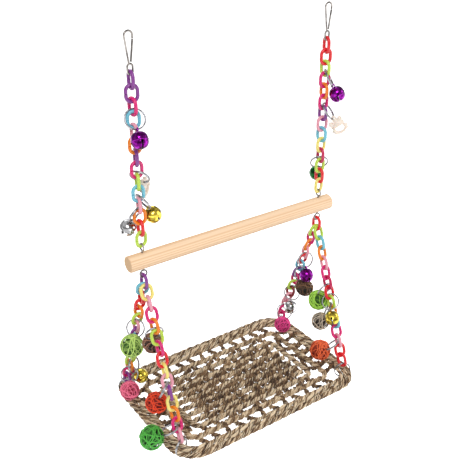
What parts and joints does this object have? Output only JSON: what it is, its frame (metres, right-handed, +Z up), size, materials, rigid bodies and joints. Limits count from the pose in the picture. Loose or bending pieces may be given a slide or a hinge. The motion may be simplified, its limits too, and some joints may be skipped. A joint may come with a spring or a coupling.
{
  "type": "bird swing",
  "caption": "Bird swing: wooden perch on two plastic chains with snap clips, and a woven seagrass mat hung below it, trimmed with jingle bells and vine balls.",
  "frame": {"origin": "where the head of the left clip rests on the cage bar", "axes": "+X along the perch to the right clip, +Y to the back, +Z up"},
  "size_m": [0.3081, 0.1844, 0.4666],
  "materials": {
    "chain_plastic": "moulded plastic in many colours, satin gloss",
    "wire": "nickel-plated steel wire",
    "dowel": "bare sanded wood",
    "seagrass": "twisted dried seagrass cord",
    "vine": "dyed vine strands, wound into a ball",
    "bell_metal": "bright lacquered steel",
    "charm_plastic": "pale moulded plastic"
  },
  "bodies": {
    "cage_clips": {"left_clip_frame": "wire", "right_clip_frame": "wire"},
    "left_gate": {"left_clip_gate": "wire"},
    "right_gate": {"right_clip_gate": "wire"},
    "left_top_link": {"left_top_link": "chain_plastic"},
    "right_top_link": {"right_top_link": "chain_plastic"},
    "left_chain": {"left_upper_chain": "chain_plastic"},
    "right_chain": {"right_upper_chain": "chain_plastic"},
    "left_perch_link": {"left_perch_link": "chain_plastic"},
    "right_perch_link": {"right_perch_link": "chain_plastic"},
    "perch": {"perch": "dowel", "left_eye_wire": "wire", "right_eye_wire": "wire"},
    "left_yoke": {"left_yoke_link": "chain_plastic"},
    "right_yoke": {"right_yoke_link": "chain_plastic"},
    "left_lower_chains": {"left_back_chain": "chain_plastic", "left_front_chain": "chain_plastic"},
    "right_lower_chains": {"right_back_chain": "chain_plastic", "right_front_chain": "chain_plastic"},
    "mat": {"mat_border": "seagrass", "mat_ropes": "seagrass", "mat_cross_cords": "seagrass", "corner_rings": "wire", "left_back_corner_links": "chain_plastic", "left_front_corner_links": "chain_plastic", "right_back_corner_links": "chain_plastic", "right_front_corner_links": "chain_plastic"},
    "left_purple_bell": {"left_purple_bell": "bell_metal"},
    "left_gold_bell": {"left_gold_bell": "bell_metal"},
    "left_silver_bell": {"left_silver_bell": "bell_metal"},
    "right_purple_bell": {"right_purple_bell": "bell_metal"},
    "right_green_bell": {"right_green_bell": "bell_metal"},
    "mat_gold_bell": {"mat_gold_bell": "bell_metal"},
    "lower_purple_bell": {"lower_purple_bell": "bell_metal"},
    "lower_silver_bell": {"lower_silver_bell": "bell_metal"},
    "lower_gold_bell": {"lower_gold_bell": "bell_metal"},
    "left_charm": {"left_charm": "charm_plastic"},
    "right_charm": {"right_charm": "charm_plastic"},
    "light_green_ball": {"light_green_ball": "vine", "light_green_ring": "wire"},
    "brown_ball": {"brown_ball": "vine", "brown_ring": "wire"},
    "pink_ball": {"pink_ball": "vine", "pink_ring": "wire"},
    "red_orange_ball": {"red_orange_ball": "vine", "red_orange_ring": "wire"},
    "dark_green_ball": {"dark_green_ball": "vine", "dark_green_ring": "wire"},
    "dark_brown_ball": {"dark_brown_ball": "vine", "dark_brown_ring": "wire"},
    "magenta_ball": {"magenta_ball": "vine", "magenta_ring": "wire"},
    "lime_green_ball": {"lime_green_ball": "vine", "lime_green_ring": "wire"},
    "taupe_ball": {"taupe_ball": "vine", "taupe_ring": "wire"},
    "orange_ball": {"orange_ball": "vine", "orange_ring": "wire"}
  },
  "joints": [
    {"name": "left_gate_opening", "type": "hinge", "parent": "cage_clips", "child": "left_gate", "pos_m": [0.0013, 0, -0.028], "axis": [0, -1, 0], "range_deg": [0, 14], "stiffness_Nm_per_rad": 0.02},
    {"name": "right_gate_opening", "type": "hinge", "parent": "cage_clips", "child": "right_gate", "pos_m": [0.2463, 0, -0.028], "axis": [0, -1, 0], "range_deg": [0, 14], "stiffness_Nm_per_rad": 0.02},
    {"name": "swing", "type": "hinge", "parent": "cage_clips", "child": "left_top_link", "pos_m": [0, 0, -0.0397], "axis": [1, 0, 0], "range_deg": [-20, 20]},
    {"name": "swing_right", "type": "hinge", "parent": "cage_clips", "child": "right_top_link", "pos_m": [0.245, 0, -0.0397], "axis": [1, 0, 0], "range_deg": [-20, 20]},
    {"name": "sway", "type": "hinge", "parent": "left_top_link", "child": "left_chain", "pos_m": [0, 0, -0.05345], "axis": [0, 1, 0], "range_deg": [-12, 12]},
    {"name": "left_perch_levelling", "type": "hinge", "parent": "left_chain", "child": "left_perch_link", "pos_m": [0, 0, -0.21065], "axis": [0, 1, 0], "range_deg": [-12, 12]},
    {"name": "sway_right", "type": "hinge", "parent": "right_top_link", "child": "right_chain", "pos_m": [0.245, 0, -0.05345], "axis": [0, 1, 0], "range_deg": [-12, 12]},
    {"name": "right_perch_levelling", "type": "hinge", "parent": "right_chain", "child": "right_perch_link", "pos_m": [0.245, 0, -0.21065], "axis": [0, 1, 0], "range_deg": [-12, 12]},
    {"name": "perch_swing", "type": "hinge", "parent": "left_perch_link", "child": "perch", "pos_m": [0, 0, -0.22375], "axis": [1, 0, 0], "range_deg": [-20, 20]},
    {"name": "mat_swing", "type": "hinge", "parent": "perch", "child": "left_yoke", "pos_m": [0, 0, -0.2616], "axis": [1, 0, 0], "range_deg": [-15, 15]},
    {"name": "mat_swing_right", "type": "hinge", "parent": "perch", "child": "right_yoke", "pos_m": [0.245, 0, -0.2616], "axis": [1, 0, 0], "range_deg": [-15, 15]},
    {"name": "mat_sway", "type": "hinge", "parent": "left_yoke", "child": "left_lower_chains", "pos_m": [0, 0, -0.27545], "axis": [0, 1, 0], "range_deg": [-6, 6]},
    {"name": "mat_sway_right", "type": "hinge", "parent": "right_yoke", "child": "right_lower_chains", "pos_m": [0.245, 0, -0.27545], "axis": [0, 1, 0], "range_deg": [-6, 6]},
    {"name": "mat_levelling", "type": "hinge", "parent": "left_lower_chains", "child": "mat", "pos_m": [0, 0, -0.39731], "axis": [0, 1, 0], "range_deg": [-6, 6]},
    {"name": "left_purple_bell_swing", "type": "hinge", "parent": "left_chain", "child": "left_purple_bell", "pos_m": [0, 0, -0.07335], "axis": [-0.9848, 0.1736, 0], "range_deg": [0, 29]},
    {"name": "left_gold_bell_swing", "type": "hinge", "parent": "left_chain", "child": "left_gold_bell", "pos_m": [0, 0, -0.16505], "axis": [0.0872, -0.9962, 0], "range_deg": [0, 15]},
    {"name": "left_silver_bell_swing", "type": "hinge", "parent": "left_chain", "child": "left_silver_bell", "pos_m": [0, 0, -0.17815], "axis": [0.866, 0.5, 0], "range_deg": [0, 29]},
    {"name": "right_purple_bell_swing", "type": "hinge", "parent": "right_chain", "child": "right_purple_bell", "pos_m": [0.245, 0, -0.07335], "axis": [-0.6428, -0.766, 0], "range_deg": [0, 29]},
    {"name": "right_green_bell_swing", "type": "hinge", "parent": "right_chain", "child": "right_green_bell", "pos_m": [0.245, 0, -0.17815], "axis": [0.866, -0.5, 0], "range_deg": [0, 29]},
    {"name": "mat_gold_bell_swing", "type": "hinge", "parent": "mat", "child": "mat_gold_bell", "pos_m": [0.00402, 0.05001, -0.41312], "axis": [0.5219, -0.8146, 0.2529], "range_deg": [-10, 10]},
    {"name": "lower_purple_bell_swing", "type": "hinge", "parent": "right_lower_chains", "child": "lower_purple_bell", "pos_m": [0.245, 0.0189, -0.31756], "axis": [-0.9848, 0.1736, 0], "range_deg": [0, 29]},
    {"name": "lower_silver_bell_swing", "type": "hinge", "parent": "right_lower_chains", "child": "lower_silver_bell", "pos_m": [0.245, 0.04137, -0.37909], "axis": [-0.6018, 0.7986, 0], "range_deg": [0, 15]},
    {"name": "lower_gold_bell_swing", "type": "hinge", "parent": "right_lower_chains", "child": "lower_gold_bell", "pos_m": [0.245, -0.03238, -0.35448], "axis": [-0.866, 0.5, 0], "range_deg": [0, 19]},
    {"name": "left_charm_swing", "type": "hinge", "parent": "left_chain", "child": "left_charm", "pos_m": [0, 0, -0.13885], "axis": [0.6428, -0.766, 0], "range_deg": [0, 29]},
    {"name": "right_charm_swing", "type": "hinge", "parent": "right_chain", "child": "right_charm", "pos_m": [0.245, 0, -0.11265], "axis": [-0.766, -0.6428, 0], "range_deg": [0, 26]},
    {"name": "light_green_ball_swing", "type": "hinge", "parent": "left_lower_chains", "child": "light_green_ball", "pos_m": [0, 0.02339, -0.32987], "axis": [-0.5, 0.866, 0], "range_deg": [0, 26]},
    {"name": "brown_ball_swing", "type": "hinge", "parent": "left_lower_chains", "child": "brown_ball", "pos_m": [0, -0.0189, -0.31756], "axis": [0.9848, -0.1736, 0], "range_deg": [0, 16]},
    {"name": "pink_ball_swing", "type": "hinge", "parent": "mat", "child": "pink_ball", "pos_m": [-0.00343, 0.04892, -0.42363], "axis": [-0.3719, -0.6441, 0.6685], "range_deg": [-10, 10]},
    {"name": "red_orange_ball_swing", "type": "hinge", "parent": "left_lower_chains", "child": "red_orange_ball", "pos_m": [0, -0.04137, -0.37909], "axis": [0.5, 0.866, 0], "range_deg": [0, 29]},
    {"name": "dark_green_ball_swing", "type": "hinge", "parent": "mat", "child": "dark_green_ball", "pos_m": [0, -0.05934, -0.42831], "axis": [0.342, 0.9397, 0], "range_deg": [0, 29]},
    {"name": "dark_brown_ball_swing", "type": "hinge", "parent": "right_lower_chains", "child": "dark_brown_ball", "pos_m": [0.245, 0.024, -0.35166], "axis": [0, -0.9251, 0.3796], "range_deg": [-8, 10]},
    {"name": "magenta_ball_swing", "type": "hinge", "parent": "mat", "child": "magenta_ball", "pos_m": [0.245, 0.05485, -0.41601], "axis": [-0.6428, 0.766, 0], "range_deg": [0, 27]},
    {"name": "lime_green_ball_swing", "type": "hinge", "parent": "right_lower_chains", "child": "lime_green_ball", "pos_m": [0.245, -0.02789, -0.34218], "axis": [0.9397, 0.342, 0], "range_deg": [0, 24]},
    {"name": "taupe_ball_swing", "type": "hinge", "parent": "right_lower_chains", "child": "taupe_ball", "pos_m": [0.24112, -0.03463, -0.376], "axis": [-0.6228, 0.6584, 0.4226], "range_deg": [-10, 10]},
    {"name": "orange_ball_swing", "type": "hinge", "parent": "mat", "child": "orange_ball", "pos_m": [0.245, -0.05485, -0.41601], "axis": [0.866, 0.5, 0], "range_deg": [0, 29]}
  ],
  "couplings": [
    {"joint": "swing_right", "follows": "swing", "ratio": 1},
    {"joint": "sway_right", "follows": "sway", "ratio": 1},
    {"joint": "left_perch_levelling", "follows": "sway", "ratio": -1},
    {"joint": "right_perch_levelling", "follows": "sway", "ratio": -1},
    {"joint": "mat_swing_right", "follows": "mat_swing", "ratio": 1},
    {"joint": "mat_sway_right", "follows": "mat_sway", "ratio": 1},
    {"joint": "mat_levelling", "follows": "mat_sway", "ratio": -1}
  ]
}
